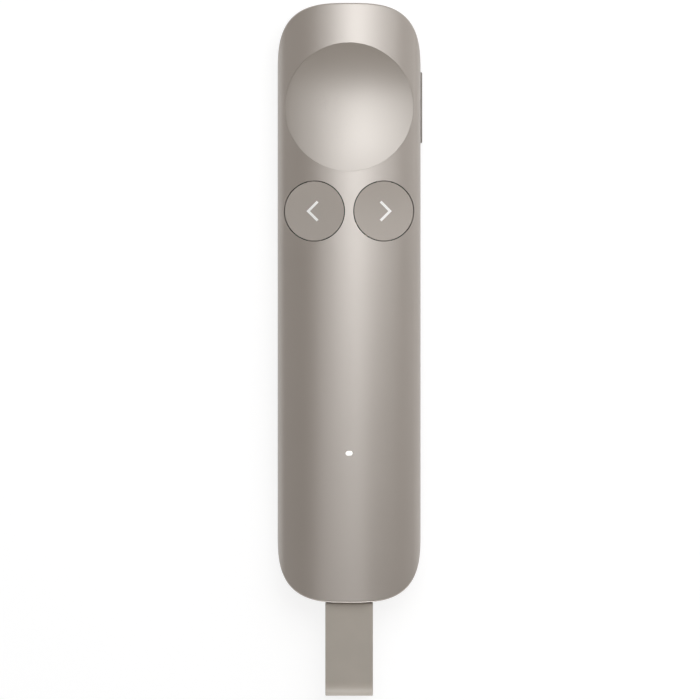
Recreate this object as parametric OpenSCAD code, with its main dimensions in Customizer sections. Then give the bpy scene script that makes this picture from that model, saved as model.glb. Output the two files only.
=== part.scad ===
// Slim hand-held remote with a thumb dish, two round keys, a side key and a plug-in radio receiver.
// It lies on its back: X is across, +Y runs to the nose, +Z is up through the key face.
// The origin is the middle of the flat back. All sizes are in millimetres.

/* [Housing] */
// Length of the housing, nose to tail
body_l = 129.7; // [124:0.1:140]
// Width of the housing
body_w = 31; // [30.8:0.1:34]
// Thickness of the housing at the top of the crown
body_t = 13; // [12.6:0.1:15]
// Length of each rounded end
end_l = 15.6; // [12:0.1:20]
// Power of the rounded ends, from 2 for an ellipse to squarer
end_power = 3.1; // [2.6:0.1:4]
// Radius of the crowned front
crown_r = 30; // [27:0.5:36]
// Radius between the crown and each side
side_r = 3; // [2.4:0.1:3.4]
// Radius between each side and the back
back_r = 3.4; // [2.8:0.1:3.6]
// Thickness of the housing walls
wall = 1.3; // [1.1:0.05:1.4]
// Height of the joint between the front shell and the rear cover
parting_z = 3.4; // [3:0.1:3.6]

/* [Rear cover catch] */
// Height of each locating tongue above the joint
tongue_h = 0.9; // [0.8:0.05:1.2]
// Thickness of each tongue
tongue_t = 0.9; // [0.7:0.05:1]
// Length of each tongue
tongue_l = 80; // [60:1:82]
// Radius of each catch bead
bead_r = 0.25; // [0.15:0.05:0.3]
// Length of each catch bead
bead_l = 5; // [3:0.5:8]
// Number of catch beads on each tongue
bead_count = 4; // [2:1:6]

/* [Thumb key] */
// Distance from the nose to the middle of the thumb dish
dish_from_nose = 22.5; // [21:0.1:26]
// Width of shell left on each side of the dish
dish_margin = 1.5; // [1.4:0.05:3]
// Depth of the dish below the crown
dish_depth = 1.75; // [1:0.05:1.8]
// Gap around the thumb key
thumb_gap = 0.08; // [0.06:0.01:0.1]
// Thickness of the thumb key
thumb_plate = 1.1; // [0.9:0.05:1.2]
// Travel of the thumb key
thumb_travel = 0.5; // [0.3:0.05:0.6]
// Width of the thumb key's stop lugs
thumb_lug_w = 6; // [4:0.5:8]
// Radius of each guide post
post_r = 0.9; // [0.7:0.05:1]
// Distance from the dish centre to each guide post
post_offset = 7; // [6:0.1:7.2]

/* [Round keys] */
// Distance from the dish centre back to the round keys
keys_from_dish = 22.5; // [22.2:0.1:26]
// Width of shell left between the two round keys
key_between = 2.2; // [2:0.1:4]
// Width of shell left outside each round key
key_margin = 1.6; // [1.55:0.05:2.4]
// Gap around each round key
key_gap = 0.2; // [0.1:0.05:0.25]
// Thickness of each key cap
cap_plate = 1.1; // [0.9:0.1:1.3]
// Wall of each key skirt
skirt_t = 0.9; // [0.7:0.1:1.2]
// Travel of each round key
key_travel = 0.4; // [0.2:0.05:0.5]
// Width of a round key's stop lugs
lug_w = 3; // [2:0.1:4]
// How far each stop lug stands out
lug_out = 0.7; // [0.5:0.05:1]
// Thickness of each stop lug
lug_t = 0.8; // [0.6:0.1:0.9]
// Radius of the stem under each key
stem_r = 1.5; // [1.2:0.1:2]

/* [Arrow marks] */
// Half height of each arrow mark
mark_h = 2.25; // [1.5:0.05:3]
// Thickness of the arrow's stroke
mark_stroke = 0.55; // [0.3:0.05:0.8]
// Depth of the moulded arrow
mark_depth = 0.3; // [0.2:0.05:0.5]
// Distance from the key centre to the arrow's tip
mark_tip = 1.75; // [1:0.05:2]

/* [Side key] */
// Length of the side key
side_key_l = 15.4; // [12:0.1:17]
// Height of the side key
side_key_h = 2.4; // [2:0.1:2.5]
// Height of the side key's centre above the back
side_key_z = 5.6; // [5.4:0.05:5.8]
// How far the side key stands proud
side_key_out = 0.35; // [0.3:0.05:0.8]
// How far the side key's flange is wider than the key, all round
side_flange = 0.35; // [0.25:0.05:0.5]
// Thickness of the side key's flange
side_flange_t = 0.8; // [0.6:0.05:1]
// Travel of the side key
side_travel = 0.35; // [0.2:0.05:0.4]

/* [Status light] */
// Distance from the tail to the status light
light_from_tail = 32.3; // [31:0.1:34]
// Width of the status light
light_w = 1.5; // [1:0.05:2]
// Length of the status light along the remote
light_l = 1; // [0.8:0.05:1.4]
// Width of the light pipe's glue flange
light_flange = 3.6; // [3:0.1:5]
// Thickness of the light pipe's glue flange
light_flange_t = 0.8; // [0.5:0.1:1.2]

/* [Laser] */
// Height of the laser axis above the back
laser_z = 6.5; // [6.3:0.05:6.7]
// Outer radius of the laser barrel
barrel_r = 2.8; // [2.4:0.05:2.8]
// Length of the laser barrel
barrel_l = 11.2; // [10:0.1:11.4]
// Wall of the laser barrel
barrel_t = 0.7; // [0.5:0.05:0.9]
// Radius of the opening in the nose
aperture_r = 1.8; // [1.2:0.05:2]
// Radius of the window disc behind the opening
window_r = 2.5; // [2.2:0.05:2.6]
// Thickness of the window disc
window_t = 0.88; // [0.6:0.02:0.9]

/* [Board and frame] */
// Height of the underside of the board
board_z = 5; // [4.9:0.05:5.1]
// Thickness of the board
board_t = 0.8; // [0.6:0.05:1]
// Gap from the housing's side to the board
board_inset = 3.5; // [3.2:0.05:3.8]
// Height of the underside of the frame
frame_z = 2.2; // [2:0.05:2.4]
// Width of each of the frame's side rails
rail_w = 1.7; // [1.5:0.05:1.9]
// Gap from the housing's side to the frame
frame_inset = 2.6; // [2.5:0.05:2.8]
// Thickness of the frame's deck under the thumb switch
deck_t = 1.6; // [1.2:0.1:2]
// Wall round the hollow under the deck
deck_wall = 1.2; // [1:0.1:2]
// Thickness of the frame's ears under the screw bosses
ear_t = 1.8; // [1.6:0.1:2]
// Thickness of material round each ear's hole
ear_rim = 2.3; // [2:0.1:2.5]
// Width of each cross bar
bar_w = 4; // [3.4:0.1:5]
// Side of each key switch
switch_w = 4.6; // [4:0.1:5]
// Height of each key switch
switch_h = 1.6; // [1.4:0.05:1.7]
// Radius of each switch plunger
plunger_r = 1; // [0.8:0.05:1.2]
// How far each plunger stands out of its switch
plunger_out = 0.6; // [0.55:0.05:0.7]
// Length of the side switch
side_switch_l = 6; // [4:0.1:7]
// Depth of the side switch across the remote
side_switch_w = 2.6; // [2.2:0.1:3]
// Height of the side switch
side_switch_h = 2.5; // [2.4:0.05:2.6]

/* [Battery and motor] */
// Length of the battery
battery_l = 39; // [30:0.5:40]
// Gap on each side of the battery
battery_gap = 0.2; // [0.1:0.05:2]
// Thickness of the battery
battery_t = 3; // [2.4:0.05:3.1]
// Thickness of the foam pad under the battery
pad_t = 0.4; // [0.2:0.05:0.5]
// Radius of the vibration motor
motor_r = 4; // [3:0.1:4.5]
// Height of the vibration motor
motor_h = 2.7; // [2:0.1:2.8]

/* [Charging socket] */
// Width of the socket's opening
port_w = 8.4; // [8.36:0.01:8.5]
// Height of the socket's opening
port_h = 2.6; // [2.56:0.01:2.7]
// Wall of the socket's shell
port_t = 0.3; // [0.2:0.02:0.4]
// Depth of the socket
port_l = 7; // [6.8:0.1:8]
// Distance from the tail to the socket's face
port_from_tail = 17; // [16:0.1:18]

/* [Receiver] */
// Width of the receiver
receiver_w = 12; // [11:0.1:13]
// Height of the receiver
receiver_h = 5.6; // [5.2:0.1:5.8]
// Corner radius of the receiver
receiver_r = 2.3; // [1.8:0.1:2.6]
// Wall of the receiver's case
receiver_t = 0.8; // [0.6:0.05:0.9]
// How far the receiver sits inside the tail
receiver_sink = 0.4; // [0.2:0.05:0.8]
// Wall of the sleeve that guides the receiver
sleeve_t = 0.6; // [0.5:0.05:0.65]
// Width of the plug
plug_w = 8.24; // [8:0.01:8.25]
// Height of the plug
plug_h = 2.4; // [2.3:0.01:2.42]
// Length of the plug outside the receiver
plug_l = 6.65; // [6:0.05:6.7]

/* [Pull loop] */
// Length of the pull loop outside the tail
loop_l = 20.3; // [16:0.1:30]
// Width of the pull loop
loop_w = 10.3; // [8:0.1:11]
// Height of the pull loop
loop_h = 7; // [6.8:0.1:9]
// Thickness of the loop's band
band_t = 1.3; // [1:0.05:1.35]
// Thickness of the loop's root
root_t = 1.5; // [1.5:0.1:3]
// Rounding of the root's edges
root_r = 0.15; // [0.1:0.05:1]

/* [Fasteners] */
// Radius of the frame screws
screw_r = 0.8; // [0.6:0.05:0.8]
// Length of the frame screws under the head
screw_l = 4.4; // [3.5:0.1:4.8]
// Radius of the frame screws' heads
head_r = 1.4; // [1.2:0.05:1.5]
// Height of the frame screws' heads
head_h = 0.9; // [0.7:0.05:1]
// Radius of each screw boss
boss_r = 1.7; // [1.5:0.05:1.8]
// Radius of the board screws
board_screw_r = 0.7; // [0.5:0.05:0.8]
// Length of the board screws under the head
board_screw_l = 2.6; // [2:0.1:2.8]
// Radius of the board screws' heads
board_head_r = 1.2; // [1:0.05:1.4]
// Height of the board screws' heads
board_head_h = 0.7; // [0.5:0.05:0.9]

/* [Fits] */
// Clearance of parts that slide on each other
slide_gap = 0.1; // [0.06:0.01:0.14]
// Clearance of parts that are fixed to each other
fix_gap = 0.05; // [0.02:0.01:0.08]
// Clearance between a moving part and what it passes
free_gap = 0.3; // [0.2:0.02:0.36]

/* [Hidden] */
$fn = 72;
big = 200;
end_steps = 24;

// Places along the remote
nose_y = body_l / 2;
tail_y = -body_l / 2;
dish_y = nose_y - dish_from_nose;
keys_y = dish_y - keys_from_dish;
light_y = tail_y + light_from_tail;
port_y = tail_y + port_from_tail;

// Openings across the remote
dish_r = body_w / 2 - dish_margin;
key_r = (body_w / 2 - key_margin - key_between / 2) / 2;
key_x = key_between / 2 + key_r;
board_w = body_w - 2 * board_inset;
frame_window = body_w - 2 * (frame_inset + rail_w);
battery_w = frame_window - 2 * battery_gap;

// Section of the housing
crown_z = body_t - crown_r;
side_x = body_w / 2 - side_r;
side_z = crown_z + sqrt(pow(crown_r - side_r, 2) - pow(side_x, 2));
back_x = body_w / 2 - back_r;

// Height of the housing's front surface, sunk by inset, at a distance x from the middle
function front_z(x, inset = 0) =
    let (crown_end = side_x * (crown_r - inset) / (crown_r - side_r))
    abs(x) <= crown_end
        ? crown_z + sqrt(pow(crown_r - inset, 2) - x * x)
        : side_z + sqrt(max(0, pow(side_r - inset, 2) - pow(abs(x) - side_x, 2)));
// Radius of an arc from its half chord and its rise
function arc_r(half, rise) = (half * half + rise * rise) / (2 * rise);
// How far the rounded end reaches at a distance x from the middle, sunk by inset
function end_y(x, inset = 0) =
    nose_y - end_l
    + (end_l - inset) * pow(1 - pow(abs(x) / (body_w / 2 - inset), end_power), 1 / end_power);

// Board and switches
board_top = board_z + board_t;
plunger_top = board_top + switch_h + plunger_out;
deck_z = board_z - deck_t;

// Thumb key: hollow along the remote, arched across it, and flush with the crown all round its rim
thumb_r = dish_r - thumb_gap;
dish_z = body_t - dish_depth;
dish_long_r = arc_r(thumb_r, dish_depth);
dish_fall = dish_z - front_z(thumb_r);
dish_cross_r = arc_r(thumb_r, dish_fall);
thumb_lug_z = front_z(thumb_lug_w / 2, wall) - slide_gap;

// Round keys: each top is a hollow cylinder, tilted to meet the crown all round
key_in_z = front_z(key_x - key_r);
key_out_z = front_z(key_x + key_r);
key_tilt = atan((key_in_z - key_out_z) / (2 * key_r));
key_z = (key_in_z + key_out_z) / 2;
key_hollow_r = arc_r(key_r, front_z(key_x) - key_z);
skirt_z = key_out_z - cap_plate - slide_gap;
lug_z = front_z(key_x + lug_w / 2, wall) - slide_gap;

// Receiver and its socket share one axis
port_outer_h = port_h + 2 * port_t;
port_z = board_top + port_outer_h / 2;
case_tail_y = tail_y + receiver_sink;
case_nose_y = port_y - 2 * slide_gap;
sleeve_w = receiver_w + 2 * slide_gap;
sleeve_h = receiver_h + 2 * slide_gap;
sleeve_r = receiver_r + slide_gap;
sleeve_nose_y = port_y - free_gap;
sleeve_tail_y = -end_y(sleeve_w / 2 + sleeve_t, wall) + slide_gap;
loop_root_y = tail_y - slide_gap;

// Board ends, battery and frame bars
barrel_front_y = nose_y - wall - slide_gap;
barrel_back_y = barrel_front_y - barrel_l;
barrel_to_board = 0.7;
board_nose_y = barrel_back_y - barrel_to_board;
board_tail_y = port_y + 2 * slide_gap;
bar_from_keys = 10;
bar_from_light = 3.8;
bar_front_y = keys_y - bar_from_keys;
bar_back_y = light_y - bar_from_light;
bar_to_battery = 1.3;
battery_front_y = bar_front_y - bar_w / 2 - bar_to_battery;
battery_z = wall + pad_t;
pad_inset = 1;
deck_back_y = dish_y - post_offset - bar_w / 2;
deck_front_y = barrel_back_y - 2 * deck_wall;
tail_plate_y = port_y + deck_wall;

// Screw bosses, each as its distance from the housing's side and from the end or dish near it
nose_boss = [6.7, 6.4];
dish_boss = [4.5, 12.9];
tail_boss = [4.5, 15];
boss_places = [
    [body_w / 2 - nose_boss[0], nose_y - nose_boss[1]],
    [body_w / 2 - dish_boss[0], dish_y - dish_boss[1]],
    [body_w / 2 - tail_boss[0], tail_y + tail_boss[1]]
];
board_screw_inset = 3.5;
board_screw_x = board_w / 2 - board_screw_inset;
board_screw_places = [[board_screw_x, bar_front_y], [board_screw_x, bar_back_y]];
ear_z = board_z - ear_t;

// Other board parts, each size as width, length and height
motor_from_keys = 2.6;
motor_y = keys_y + motor_from_keys;
connector_from_bar = 2.6;
connector_y = bar_front_y + bar_w / 2 + connector_from_bar;
connector_size = [5, 3.6, 1.8];
lead_r = 0.4;
lead_pitch = 1.6;
shield_size = [16, 18, 1.6];
shield_y = (bar_front_y + bar_back_y) / 2;
shield_t = 0.2;
processor_size = [7, 7, 0.9];
sensor_size = [3, 3, 0.9];
sensor_gap = 2.5;
led_size = [1.6, 0.8, 0.6];
antenna_size = [7, 2.6, 1];

// Side switch and side key, from the switch outwards
side_plunger_r = 0.8;
side_plunger_tip = 0.8;
side_switch_inset = 0.5;
side_switch_x = board_w / 2 - side_switch_inset - side_switch_w;
side_plunger_x = side_switch_x + side_switch_w + side_plunger_tip;
side_flange_x = body_w / 2 - wall - slide_gap - side_flange_t;

// Rear cover's tongues run between the side key and the charging socket
tongue_from_key = 2;
tongue_mid_y = (dish_y - side_key_l / 2 - tongue_from_key + port_y) / 2;
tongue_x = body_w / 2 - wall - slide_gap - tongue_t;
tongue_z = parting_z - tongue_h;

// Inside the laser barrel
barrel_lip = 0.8;
lens_r = barrel_r - barrel_t - fix_gap;
lens_l = 2.4;
can_flange = [1.2, 0.2];
can_cap = [2, 1.4];
pin_r = 0.2;
pin_places = [[-0.9, -0.35], [0.9, -0.35], [0, 0.5]];

// Inside the socket: the tongue's width, length and thickness
socket_tongue = [6.7, 4.4, 0.7];

// Inside the receiver
cavity_w = receiver_w - 2 * receiver_t;
cavity_h = receiver_h - 2 * receiver_t;
cavity_r = receiver_r - receiver_t;
case_end_t = 1.3;
neck_w = 8.6;
neck_h = 2.8;
neck_r = 1;
anchor_t = 1.4;
collar_t = 1.2;
plug_root = 3.5;
plug_t = 0.25;
contact_slot = [6.9, 5.2, 1];
receiver_board_t = 0.6;
receiver_chip_size = [4, 4, 0.8];

// ---------- shared shapes ----------

// Extrudes a shape drawn in X and Z from y0 to y1
module along_y(y0, y1) {
    translate([0, y1, 0])
        rotate([90, 0, 0])
            linear_extrude(y1 - y0) children();
}

// Extrudes a shape drawn in Y and Z from x0 to x1
module along_x(x0, x1) {
    translate([x0, 0, 0])
        rotate([90, 0, 90])
            linear_extrude(x1 - x0) children();
}

module obround(w, h) {
    r = min(w, h) / 2;
    for (side = [-1, 1]) {
        translate([side * (w / 2 - r), side * (h / 2 - r)]) circle(r);
    }
    square([w - (w > h ? 2 * r : 0), h - (h > w ? 2 * r : 0)], center = true);
}

module rounded_rect(w, h, r) {
    square([w, h - 2 * r], center = true);
    square([w - 2 * r, h], center = true);
    for (sx = [-1, 1], sy = [-1, 1]) {
        translate([sx * (w / 2 - r), sy * (h / 2 - r)]) circle(r);
    }
}

module mirrored() {
    children();
    mirror([1, 0, 0]) children();
}

// Cross section of the housing, sunk by inset on every side
module section(inset) {
    reach = (crown_r - inset) / (crown_r - side_r) * 1.5;
    intersection() {
        translate([0, crown_z]) circle(crown_r - inset, $fn = 256);
        polygon([
            [-side_x, side_z],
            [side_x, side_z],
            [side_x * reach, crown_z + (side_z - crown_z) * reach],
            [0, big],
            [-side_x * reach, crown_z + (side_z - crown_z) * reach]
        ]);
    }
    for (side = [-1, 1]) {
        translate([side * side_x, side_z]) circle(side_r - inset);
        translate([side * back_x, back_r]) circle(back_r - inset);
    }
    translate([-body_w / 2 + inset, back_r]) square([body_w - 2 * inset, side_z - back_r]);
    translate([-back_x, inset]) square([2 * back_x, side_z - inset]);
}

// Plan of the housing, sunk by inset: straight sides between two squarish ends
module plan(inset) {
    half = body_w / 2 - inset;
    reach = end_l - inset;
    quarter = [
        for (i = [0 : end_steps])
            let (a = 90 * i / end_steps)
            [half * pow(cos(a), 2 / end_power), nose_y - end_l + reach * pow(sin(a), 2 / end_power)]
    ];
    back = [for (i = [end_steps : -1 : 0]) quarter[i]];
    polygon(concat(
        quarter,
        [for (p = back) [-p[0], p[1]]],
        [for (p = quarter) [-p[0], -p[1]]],
        [for (p = back) [p[0], -p[1]]]
    ));
}

// Side profile of the housing, sunk by inset: its ends are rounded into the back
module profile(inset) {
    for (end = [-1, 1]) {
        translate([end * (nose_y - back_r), back_r]) circle(back_r - inset);
    }
    translate([tail_y + inset, back_r]) square([body_l - 2 * inset, body_t]);
    translate([tail_y + back_r, inset]) square([body_l - 2 * back_r, body_t]);
}

module housing(inset) {
    intersection() {
        along_y(-big, big) section(inset);
        along_x(-big, big) profile(inset);
        translate([0, 0, -1]) linear_extrude(big) plan(inset);
    }
}

// Waisted drum that shapes the thumb dish, grown by t
module dish_drum(t = 0) {
    translate([0, dish_y, dish_z + dish_long_r])
        rotate([0, 90, 0])
            rotate_extrude($fn = 180)
                difference() {
                    translate([0, -body_w / 2]) square([dish_long_r + 2 * body_t, body_w]);
                    translate([dish_long_r + dish_cross_r, 0]) circle(dish_cross_r - t, $fn = 256);
                }
}

// Cylinder that hollows the right-hand round key, grown by t
module key_drum(t = 0) {
    translate([key_x, keys_y, key_z])
        rotate([0, key_tilt, 0])
            translate([-body_w, 0, key_hollow_r])
                rotate([0, 90, 0])
                    cylinder(r = key_hollow_r + t, h = 2 * body_w, $fn = 180);
}

// Arrow outline, its tip pointing to +X
module arrow_outline() {
    across = mark_stroke / sqrt(2);
    for (side = [-1, 1]) {
        polygon([
            [mark_tip, 0],
            [mark_tip - mark_h, side * mark_h],
            [mark_tip - mark_h - across, side * (mark_h - across)],
            [mark_tip - 2 * across, 0]
        ]);
    }
}

module screw(shank_r, shank_l, top_r, top_h) {
    cylinder(r = shank_r, h = shank_l);
    translate([0, 0, -top_h]) difference() {
        cylinder(r = top_r, h = top_h);
        translate([0, 0, -top_h / 2]) cylinder(r = top_r / 2, h = top_h, $fn = 6);
    }
}

// ---------- housing ----------

module front_shell() {
    color([0.71, 0.675, 0.64])
        difference() {
            union() {
                difference() {
                    intersection() {
                        housing(0);
                        translate([-big, -big, parting_z]) cube(2 * big);
                    }
                    housing(wall);
                }
                intersection() {
                    housing(wall / 2);
                    for (p = boss_places) {
                        mirrored() translate([p[0], p[1], board_z]) cylinder(r = boss_r, h = body_t);
                    }
                }
            }
            for (p = boss_places) {
                mirrored() translate([p[0], p[1], ear_z])
                    cylinder(r = screw_r + fix_gap, h = screw_l + free_gap);
            }
            thumb_opening();
            key_openings();
            side_key_opening();
            catch_beads(fix_gap);
            translate([0, light_y, board_top])
                linear_extrude(body_t) obround(light_w + 2 * fix_gap, light_l + 2 * fix_gap);
            along_y(nose_y - 2 * wall, nose_y - wall + window_t + fix_gap)
                translate([0, laser_z]) circle(window_r + fix_gap);
            along_y(nose_y - wall, nose_y + wall) translate([0, laser_z]) circle(aperture_r);
            along_y(tail_y - wall, tail_y + 2 * wall)
                translate([0, port_z]) rounded_rect(sleeve_w, sleeve_h, sleeve_r);
        }
}

module thumb_opening() {
    translate([0, dish_y, board_top]) cylinder(r = dish_r, h = body_t);
}

module key_openings() {
    mirrored() translate([key_x, keys_y, skirt_z - key_travel - free_gap])
        cylinder(r = key_r + key_gap, h = body_t);
}

module side_key_opening() {
    along_x(body_w / 2 - 2 * wall, body_w)
        translate([dish_y, side_key_z])
            rounded_rect(side_key_l + 2 * slide_gap, side_key_h + 2 * slide_gap, side_key_h / 4 + slide_gap);
}

// Catch beads lie along the tongues, and the shell's grooves are the same beads grown by t
module catch_beads(t = 0) {
    pitch = tongue_l / bead_count;
    for (i = [0 : bead_count - 1]) {
        bead_y = tongue_mid_y - tongue_l / 2 + (i + 0.5) * pitch;
        mirrored()
            along_y(bead_y - bead_l / 2 - t, bead_y + bead_l / 2 + t)
                translate([tongue_x + tongue_t, parting_z + tongue_h / 2]) circle(bead_r + t);
    }
}

module rear_cover() {
    color([0.66, 0.625, 0.59])
        union() {
            difference() {
                housing(0);
                housing(wall);
                translate([-big, -big, parting_z]) cube(2 * big);
            }
            intersection() {
                housing(wall / 2);
                mirrored() translate([tongue_x, tongue_mid_y - tongue_l / 2, tongue_z])
                    cube([tongue_t, tongue_l, 2 * tongue_h]);
            }
            catch_beads();
        }
}

module nose_window() {
    color([0.09, 0.1, 0.11])
        along_y(nose_y - wall, nose_y - wall + window_t)
            translate([0, laser_z]) circle(window_r);
}

module light_pipe() {
    color([0.96, 0.96, 0.93])
        intersection() {
            housing(0);
            union() {
                translate([0, light_y, board_top + led_size[2] + slide_gap])
                    linear_extrude(body_t) obround(light_w, light_l);
                translate([0, light_y, front_z(light_flange / 2, wall) - fix_gap - light_flange_t])
                    linear_extrude(light_flange_t) obround(light_flange, light_flange * 0.8);
            }
        }
}

// ---------- frame, board and what they carry ----------

module frame_bar(y) {
    translate([-frame_window / 2 - rail_w / 2, y - bar_w / 2, frame_z])
        cube([frame_window + rail_w, bar_w, board_z - frame_z]);
}

module frame_rails() {
    difference() {
        translate([0, 0, frame_z]) linear_extrude(board_z - frame_z) plan(frame_inset);
        translate([-frame_window / 2, tail_plate_y, 0])
            cube([frame_window, deck_back_y - tail_plate_y, body_t]);
    }
    frame_bar(bar_front_y);
    frame_bar(bar_back_y);
    intersection() {
        translate([0, 0, frame_z]) linear_extrude(board_z - frame_z) plan(frame_inset);
        for (p = boss_places) {
            mirrored() translate([p[0], p[1], 0]) cylinder(r = ear_rim, h = body_t);
        }
    }
}

module mid_frame() {
    flange_l = side_key_l + 2 * side_flange;
    flange_h = side_key_h + 2 * side_flange;
    seat_w = sleeve_w + 2 * sleeve_t + 2 * fix_gap;
    color([0.2, 0.2, 0.21])
        difference() {
            frame_rails();
            // hollow under the deck
            translate([-frame_window / 2 + deck_wall, deck_back_y + deck_wall, 0])
                cube([frame_window - 2 * deck_wall, deck_front_y - deck_back_y, deck_z]);
            // seat of the laser barrel
            along_y(barrel_back_y - free_gap, nose_y)
                translate([0, laser_z]) circle(barrel_r + fix_gap);
            // guide bores of the thumb key
            for (side = [-1, 1]) {
                translate([0, dish_y + side * post_offset, 0]) cylinder(r = post_r + slide_gap, h = body_t);
            }
            // room for the battery leads
            translate([-lead_pitch, bar_front_y - bar_w, frame_z + free_gap])
                cube([2 * lead_pitch, 2 * bar_w, body_t]);
            // room for the side switch and the side key's flange
            translate([side_switch_x - slide_gap, dish_y - side_switch_l / 2 - slide_gap,
                       side_key_z - side_switch_h / 2 - slide_gap])
                cube([body_w, side_switch_l + 2 * slide_gap, body_t]);
            translate([side_flange_x - side_travel - free_gap, dish_y - flange_l / 2 - free_gap,
                       side_key_z - flange_h / 2 - free_gap])
                cube([body_w, flange_l + 2 * free_gap, body_t]);
            // seat of the receiver sleeve
            translate([-seat_w / 2, tail_y, port_z - sleeve_h / 2 - sleeve_t - fix_gap])
                cube([seat_w, tail_plate_y - tail_y, body_t]);
            for (p = boss_places) {
                mirrored() translate([p[0], p[1], 0]) {
                    cylinder(r = screw_r + slide_gap, h = body_t);
                    cylinder(r = head_r + slide_gap, h = ear_z);
                }
            }
            for (p = board_screw_places) {
                mirrored() translate([p[0], p[1], board_top - board_screw_l - free_gap])
                    cylinder(r = board_screw_r + fix_gap, h = body_t);
            }
        }
}

module frame_screws() {
    color([0.62, 0.62, 0.63])
        for (p = boss_places) {
            mirrored() translate([p[0], p[1], ear_z]) screw(screw_r, screw_l, head_r, head_h);
        }
}

module main_board() {
    color([0.05, 0.3, 0.2])
        difference() {
            translate([0, (board_nose_y + board_tail_y) / 2, board_z])
                linear_extrude(board_t) rounded_rect(board_w, board_nose_y - board_tail_y, 1);
            for (p = boss_places) {
                mirrored() translate([p[0], p[1], 0]) cylinder(r = boss_r + free_gap, h = body_t);
            }
            for (p = board_screw_places) {
                mirrored() translate([p[0], p[1], 0]) cylinder(r = board_screw_r + slide_gap, h = body_t);
            }
            for (side = [-1, 1]) {
                translate([0, dish_y + side * post_offset, 0]) cylinder(r = post_r + free_gap, h = body_t);
            }
            translate([side_switch_x - slide_gap, dish_y - side_switch_l / 2 - slide_gap, 0])
                cube([body_w, side_switch_l + 2 * slide_gap, body_t]);
        }
}

module board_screws() {
    color([0.62, 0.62, 0.63])
        for (p = board_screw_places) {
            mirrored() translate([p[0], p[1], board_top])
                mirror([0, 0, 1]) screw(board_screw_r, board_screw_l, board_head_r, board_head_h);
        }
}

module key_switch(x, y) {
    color([0.12, 0.12, 0.13])
        translate([x, y, board_top])
            difference() {
                translate([-switch_w / 2, -switch_w / 2, 0]) cube([switch_w, switch_w, switch_h]);
                translate([0, 0, slide_gap]) cylinder(r = plunger_r + slide_gap, h = switch_h);
            }
}

module key_plunger(x, y, travel) {
    color([0.85, 0.82, 0.76])
        translate([x, y, board_top + slide_gap + travel + fix_gap])
            cylinder(r = plunger_r, h = plunger_top - board_top - slide_gap - travel - fix_gap);
}

module thumb_switch() key_switch(0, dish_y);
module back_switch() key_switch(-key_x, keys_y);
module next_switch() key_switch(key_x, keys_y);
module thumb_plunger() key_plunger(0, dish_y, thumb_travel);
module back_plunger() key_plunger(-key_x, keys_y, key_travel);
module next_plunger() key_plunger(key_x, keys_y, key_travel);

module side_switch() {
    color([0.12, 0.12, 0.13])
        difference() {
            translate([side_switch_x, dish_y - side_switch_l / 2, side_key_z - side_switch_h / 2])
                cube([side_switch_w, side_switch_l, side_switch_h]);
            along_x(side_switch_x + 2 * slide_gap, board_w)
                translate([dish_y, side_key_z]) circle(side_plunger_r + slide_gap);
        }
}

module side_plunger() {
    color([0.85, 0.82, 0.76])
        along_x(side_switch_x + 3 * slide_gap + side_travel, side_plunger_x)
            translate([dish_y, side_key_z]) circle(side_plunger_r);
}

// Block of a given size that stands on the board's top
module chip(size, x, y) {
    translate([x - size[0] / 2, y - size[1] / 2, board_top]) cube(size);
}

module status_led() {
    color([0.98, 0.97, 0.9]) chip(led_size, 0, light_y);
}

module processor() {
    color([0.1, 0.1, 0.11]) chip(processor_size, 0, shield_y);
}

module radio_shield() {
    color([0.75, 0.75, 0.77])
        difference() {
            chip(shield_size, 0, shield_y);
            translate([0, shield_y, 0])
                linear_extrude(board_top + shield_size[2] - shield_t)
                    square([shield_size[0] - 2 * shield_t, shield_size[1] - 2 * shield_t], center = true);
        }
}

module motion_sensor() {
    color([0.1, 0.1, 0.11])
        chip(sensor_size, -(shield_size[0] - sensor_size[0]) / 2,
             shield_y - (shield_size[1] + sensor_size[1]) / 2 - sensor_gap);
}

module chip_antenna() {
    color([0.9, 0.9, 0.86])
        translate([-antenna_size[0] / 2, (tail_plate_y + bar_back_y - bar_w / 2 - antenna_size[1]) / 2,
                   board_z - antenna_size[2]])
            cube(antenna_size);
}

module charging_socket() {
    color([0.7, 0.7, 0.72])
        difference() {
            along_y(port_y, port_y + port_l + port_t)
                translate([0, port_z]) obround(port_w + 2 * port_t, port_outer_h);
            difference() {
                along_y(port_y - 1, port_y + port_l) translate([0, port_z]) obround(port_w, port_h);
                along_y(port_y + port_l - socket_tongue[1], port_y + port_l + 1)
                    translate([0, port_z]) square([socket_tongue[0], socket_tongue[2]], center = true);
            }
        }
}

module battery() {
    color([0.75, 0.76, 0.78])
        translate([-battery_w / 2, battery_front_y - battery_l, battery_z])
            cube([battery_w, battery_l, battery_t]);
}

module battery_pad() {
    color([0.15, 0.15, 0.15])
        translate([-battery_w / 2 + pad_inset, battery_front_y - battery_l + pad_inset, wall])
            cube([battery_w - 2 * pad_inset, battery_l - 2 * pad_inset, pad_t]);
}

module battery_leads() {
    color([0.75, 0.1, 0.08])
        for (side = [-1, 1]) {
            along_y(battery_front_y, connector_y - connector_size[1] / 2)
                translate([side * lead_pitch / 2, board_z - connector_size[2] / 2]) circle(lead_r);
        }
}

module battery_connector() {
    color([0.93, 0.92, 0.88])
        translate([-connector_size[0] / 2, connector_y - connector_size[1] / 2, board_z - connector_size[2]])
            cube(connector_size);
}

module vibration_motor() {
    color([0.72, 0.72, 0.74])
        translate([0, motor_y, board_z - fix_gap - motor_h]) cylinder(r = motor_r, h = motor_h);
}

// ---------- laser ----------

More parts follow.
